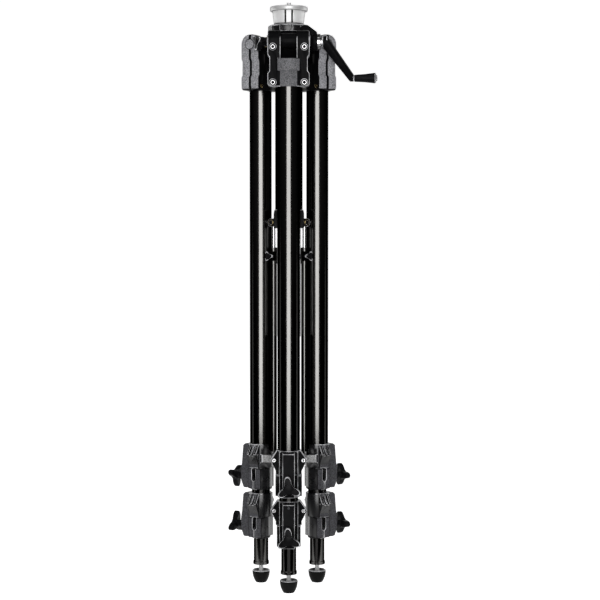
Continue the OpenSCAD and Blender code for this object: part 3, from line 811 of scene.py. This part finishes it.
def make_air():
    """White air to the camera, and a faint light to everything else."""
    world = bpy.data.worlds.new("studio_air")
    world.use_nodes = True
    tree = world.node_tree
    background = next(n for n in tree.nodes if n.type == "BACKGROUND")
    background.inputs["Color"].default_value = (1.0, 1.0, 1.0, 1.0)
    path = tree.nodes.new("ShaderNodeLightPath").outputs
    shown = calc(tree, "MAXIMUM", path["Is Camera Ray"], path["Is Transmission Ray"])
    tree.links.new(calc(tree, "MAXIMUM", shown, AIR_GLOW), background.inputs["Strength"])
    bpy.context.scene.world = world
    bpy.context.scene.view_settings.view_transform = "Standard"


def softbox(name, width, height, place, radiance):
    """Soft rectangular lamp that faces the object; the camera doesn't see it, but gloss does."""
    data = bpy.data.lights.new(name, "AREA")
    data.shape = "RECTANGLE"
    data.size = width
    data.size_y = height
    data.energy = radiance * math.pi * width * height
    lamp = bpy.data.objects.new(name, data)
    lamp.location = place
    aim = Vector((0.0, 0.0, FLOOR_Z + LAMP_AIM))
    lamp.rotation_euler = (aim - Vector(place)).to_track_quat("-Z", "Y").to_euler()
    lamp.visible_camera = False
    bpy.context.scene.collection.objects.link(lamp)


def make_lamps():
    for name, width, height, (x, y, up), radiance in LAMPS:
        softbox(name, width, height, (x, y, FLOOR_Z + up), radiance)
    for name, width, height, place, radiance in HIGH_LAMPS:
        softbox(name, width, height, place, radiance)


# Operators

class TRIPOD_OT_stage(bpy.types.Operator):
    """Makes the camera, the floor, the backdrop and the studio lamps"""

    bl_idname = "tripod.stage"
    bl_label = "Stage"

    def execute(self, context):
        make_camera()
        make_paper()
        make_air()
        make_lamps()
        return {"FINISHED"}


class TRIPOD_OT_head(bpy.types.Operator):
    """Finishes the head plate, its cup, the stud and the column"""

    bl_idname = "tripod.head"
    bl_label = "Head and column"

    def execute(self, context):
        dressed("top_plate", ("zinc",), 0.5 * MM)
        dressed("column_cup", ("plate", "face"), sizes().metal_edge, pick=cup_skin, pick_edge=cup_skin)
        turn = ((2.85, 0.0), (3.15, 0.55), (2.85, 1.1))
        threads = [(r, 6.1 + 1.27 * k + z) for k in range(4) for r, z in turn]
        profile = [(0.0, 0.0), (4.0, 0.0), (4.0, 5.9), (2.8, 5.9), *threads, (2.5, 12.0), (0.0, 12.05)]
        turned_piece("camera_stud", profile, lifted(CAMERA_STUD_Z), "column", "bright",
                     replaces=("plate_stud",))
        painted("column_tube", "column")
        painted("column_rack", "bright")
        return {"FINISHED"}


class TRIPOD_OT_hub(bpy.types.Operator):
    """Rounds and paints the hub, its ring and the leg castings"""

    bl_idname = "tripod.hub"
    bl_label = "Hub and castings"

    def execute(self, context):
        edge = sizes().casting_edge
        dressed("hub_casting", ("face",), edge)
        dressed("hub_ring", ("collar", "edge"), 0.5 * MM)
        dressed("hinge_pins", ("casting", "face"), 0.9 * MM)
        dressed("guide_tube", ("tube",), 0.2 * MM)
        nut = [(0.0, 0.0), (2.7, 0.0), (2.7, 1.0), (2.2, 1.5), (0.0, 1.5)]
        for side in SIDES:
            body = f"{side}_leg"
            for shell in ("outer", "inner"):
                dressed(f"{side}_{shell}_casting", ("face", "casting", "bulge", "edge"), edge, 40.0,
                        casting_skin(side), casting_edges(side))
            painted(f"{side}_casting_screws", "face")
            for across in (-SCREW_ACROSS, SCREW_ACROSS):
                for height in SCREW_Z:
                    place = leg_place(side, CASTING_FRONT + 0.05, across, height)
                    ring_screw(f"{side}_screw_{across:.0f}_{height:.0f}", place, 3.0, body, proud=0.28)
                back = leg_place(side, CASTING_BACK, across, SCREW_Z[0]) @ turned(180.0, "X")
                turned_piece(f"{side}_nut_{across:.0f}", nut, back, body, "brass", steps=24)
        return {"FINISHED"}


class TRIPOD_OT_crank(bpy.types.Operator):
    """Finishes the crank's shaft, arm and grip"""

    bl_idname = "tripod.crank"
    bl_label = "Crank"

    def execute(self, context):
        painted("crank_shaft", "bright")
        dressed("crank_arm", ("face", "edge"), 0.7 * MM, 40.0)
        dressed("crank_grip", ("knob", "edge"), 0.5 * MM)
        place = place_at(CRANK_AZIMUTH, 0.0, CRANK_ACROSS, CRANK_Z)
        washer = [(5.9, 46.6), (7.6, 46.6), (7.9, 47.0), (7.9, 47.7), (7.6, 48.0), (5.9, 48.0)]
        turned_piece("crank_washer", washer, place, "crank", "bright")
        ring_screw("crank_screw", place @ lifted(CRANK_SCREW_OUT), 4.2, "crank", proud=0.9)
        return {"FINISHED"}


class TRIPOD_OT_tubes(bpy.types.Operator):
    """Finishes the leg tubes"""

    bl_idname = "tripod.tubes"
    bl_label = "Leg tubes"

    def execute(self, context):
        for side in SIDES:
            for part in ("upper_tube", "middle_tube", "lower_tube"):
                painted(f"{side}_{part}", "tube")
        return {"FINISHED"}


class TRIPOD_OT_collars(bpy.types.Operator):
    """Rounds and finishes the leg lock collars and adds their eyelets and stops"""

    bl_idname = "tripod.collars"
    bl_label = "Lock collars"

    def execute(self, context):
        skin = ("face", "grained", "bracket", "collar", "edge")
        eyelet = [(1.3, -0.5), (2.7, -0.5), (2.7, 0.3), (2.4, 0.6), (1.6, 0.6), (1.3, 0.3)]
        stop = [(0.0, -1.0), (1.7, -1.0), (1.7, 0.2), (1.3, 0.8), (0.0, 1.0)]
        for side in SIDES:
            for level, body in (("upper", "leg"), ("lower", "middle")):
                foot = COLLAR_Z[level]
                dressed(f"{side}_{level}_collar", skin, sizes().collar_edge,
                        pick=collar_skin(side, foot), pick_edge=collar_edges(side, foot))
                for across in (-EYELET_ACROSS, EYELET_ACROSS):
                    place = leg_place(side, LEG_RHO / MM + EYELET_OUT, across, foot + EYELET_RISE)
                    turned_piece(f"{side}_{level}_eyelet_{across:.0f}", eyelet, place, f"{side}_{body}",
                                 "bright", steps=24)
            place = leg_place(side, LEG_RHO / MM + STOP_OUT, 0.0, COLLAR_Z["lower"] + STOP_RISE)
            turned_piece(f"{side}_collar_stop", stop, place, f"{side}_middle", "grained", steps=20)
        return {"FINISHED"}


class TRIPOD_OT_knobs(bpy.types.Operator):
    """Models the three-lobed lock knobs"""

    bl_idname = "tripod.knobs"
    bl_label = "Lock knobs"

    def execute(self, context):
        reach = sizes().knob_radius / MM
        for side in SIDES:
            for level, height in KNOB_Z.items():
                place = leg_place(side, KNOB_RHO, 0.0, height) @ turned(KNOB_TURN[level][side] + 90.0, "Z")
                wing_knob(f"{side}_{level}_wing_knob", place, f"{side}_{level}_lock",
                          f"{side}_{level}_knob", reach, waist=6.5, lobes=(7.5, 15.0), neck=4.8,
                          screw=(-14.0, 3.75))
        place = (place_at(COLUMN_LOCK_AZIMUTH, COLUMN_LOCK_RHO, 0.0, COLUMN_LOCK_Z)
                 @ turned(COLUMN_LOCK_TURN + 90.0, "Z"))
        wing_knob("column_wing_knob", place, "column_lock", "lock_knob", 12.0, waist=5.0,
                  lobes=(6.8, 14.8), neck=4.6, screw=(-18.5, 4.0))
        turned_piece("lock_washer", [(4.1, 0.0), (6.5, 0.0), (6.5, 1.9), (4.1, 1.9)],
                     place @ lifted(-1.9), "column_lock", "brass")
        return {"FINISHED"}


class TRIPOD_OT_feet(bpy.types.Operator):
    """Finishes the rubber feet and their threaded studs"""

    bl_idname = "tripod.feet"
    bl_label = "Feet"

    def execute(self, context):
        for side in SIDES:
            dressed(f"{side}_rubber_foot", ("rubber", "edge"), 0.4 * MM)
            bm = lathe([(0.0, 1.5), (0.6, 1.5), (STUD_RADIUS, 9.0), *thread(9.4, 25.2, STUD_RADIUS, 1.0),
                        (STUD_RADIUS, 25.2), (10.4, 25.2), (10.85, 25.7), (10.85, 29.1), (10.4, 29.6),
                        (8.5, 29.6), (8.5, 44.0), (0.0, 44.0)])
            for face in bm.faces:
                face.material_index = 1 if face.calc_center_median().z > PLUG_FROM * MM else 0
            place = leg_place(side, LEG_RHO / MM, 0.0, 0.0) @ turned(-90.0, "Y")
            bmesh.ops.transform(bm, matrix=place, verts=bm.verts)
            node = f"{side}_foot_stud"
            finished(bm, f"{node}_threaded", node_body(node), ("zinc", "tube"), (node,))
        return {"FINISHED"}


class TRIPOD_OT_spreader(bpy.types.Operator):
    """Finishes the spreader hub, its arms, its bolts and its knobs"""

    bl_idname = "tripod.spreader"
    bl_label = "Spreader"

    def execute(self, context):
        dressed("spreader_hub", ("face", "edge"), 0.4 * MM)
        dressed("spreader_pins", ("bright",), 0.2 * MM)
        washer = [(3.3, 7.02), (4.3, 7.02), (4.3, 7.5), (3.3, 7.5)]
        hub_body = node_body("spreader_pins")
        for side in SIDES:
            for hand in (-1.0, 1.0):
                end = arm_place(side, ARM_HUB_Z, hand)
                ring_screw(f"{side}_arm_bolt_{hand:.0f}", end @ lifted(ARM_BOLT_OUT), 3.2, hub_body)
                turned_piece(f"{side}_arm_washer_{hand:.0f}", washer, end, hub_body, "brass", steps=24)
            painted(f"{side}_arm_rod", "bright")
            painted(f"{side}_arm_tube", "tube")
            place = arm_place(side, ARM_KNOB_Z, ARM_KNOB_SIDE[side]) @ lifted(ARM_KNOB_OUT)
            place = place @ turned(180.0, "Z")
            wing_knob(f"{side}_arm_wing_knob", place, f"{side}_arm_lock", f"{side}_arm_knob", 7.6,
                      waist=3.8, lobes=(1.4, 5.7), neck=1.9, screw=(-5.9, 2.0))
        return {"FINISHED"}


class TRIPOD_PT_panel(bpy.types.Panel):
    """Shows the tripod's operators and its sizes and colours"""

    bl_idname = "TRIPOD_PT_panel"
    bl_label = "Tripod"
    bl_space_type = "VIEW_3D"
    bl_region_type = "UI"
    bl_category = "Tripod"

    def draw(self, context):
        for operator in OPERATORS:
            self.layout.operator(operator.bl_idname)
        for group in (context.scene.tripod_sizes, context.scene.tripod_colours):
            for name in group.bl_rna.properties.keys():
                if name not in ("rna_type", "name"):
                    self.layout.prop(group, name)


OPERATORS = (TRIPOD_OT_stage, TRIPOD_OT_head, TRIPOD_OT_hub, TRIPOD_OT_crank, TRIPOD_OT_tubes,
             TRIPOD_OT_collars, TRIPOD_OT_knobs, TRIPOD_OT_feet, TRIPOD_OT_spreader)
CLASSES = (TripodSizes, TripodColours, *OPERATORS, TRIPOD_PT_panel)


def register():
    for cls in CLASSES:
        bpy.utils.register_class(cls)
    bpy.types.Scene.tripod_sizes = bpy.props.PointerProperty(type=TripodSizes)
    bpy.types.Scene.tripod_colours = bpy.props.PointerProperty(type=TripodColours)


def unregister():
    del bpy.types.Scene.tripod_colours
    del bpy.types.Scene.tripod_sizes
    for cls in reversed(CLASSES):
        bpy.utils.unregister_class(cls)


def main():
    register()
    FINISH.update(make_finishes())
    for operator in OPERATORS:
        group, name = operator.bl_idname.split(".")
        getattr(getattr(bpy.ops, group), name)()


if __name__ == "__main__":
    main()
